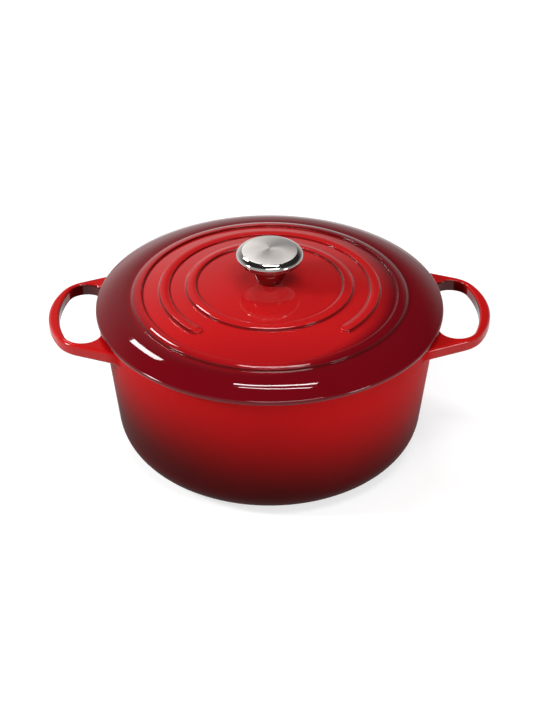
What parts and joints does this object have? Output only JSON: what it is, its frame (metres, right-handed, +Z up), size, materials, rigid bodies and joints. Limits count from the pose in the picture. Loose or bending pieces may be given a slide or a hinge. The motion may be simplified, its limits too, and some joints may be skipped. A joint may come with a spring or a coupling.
{
  "type": "cast iron dutch oven",
  "caption": "Round enamelled cast iron casserole pot with two side loop handles, and a domed lid with raised rings and a metal knob.",
  "frame": {"origin": "Bottom centre of the bounding box: on the pot's axis, in the plane it stands on.", "axes": "Z up along the pot's axis, X through the two side handles, -Y towards the gap in the lid's middle ring."},
  "size_m": [0.346, 0.2714, 0.1707],
  "materials": {
    "enamel": "glossy red vitreous enamel over cast iron, shading darker towards the pot's base",
    "knob_steel": "circular brushed top, polished side and neck",
    "insert_metal": "plain turned",
    "screw_steel": "bright"
  },
  "bodies": {
    "pot": {"pot": "enamel"},
    "lid": {"lid": "enamel", "knob_top": "knob_steel", "knob_base": "knob_steel", "knob_insert": "insert_metal", "knob_screw": "screw_steel", "lock_washer": "screw_steel"}
  },
  "joints": [
    {"name": "lid_lift", "type": "slide", "parent": "pot", "child": "lid", "axis": [0, 0, 1], "range_m": [0, 0.2]}
  ]
}
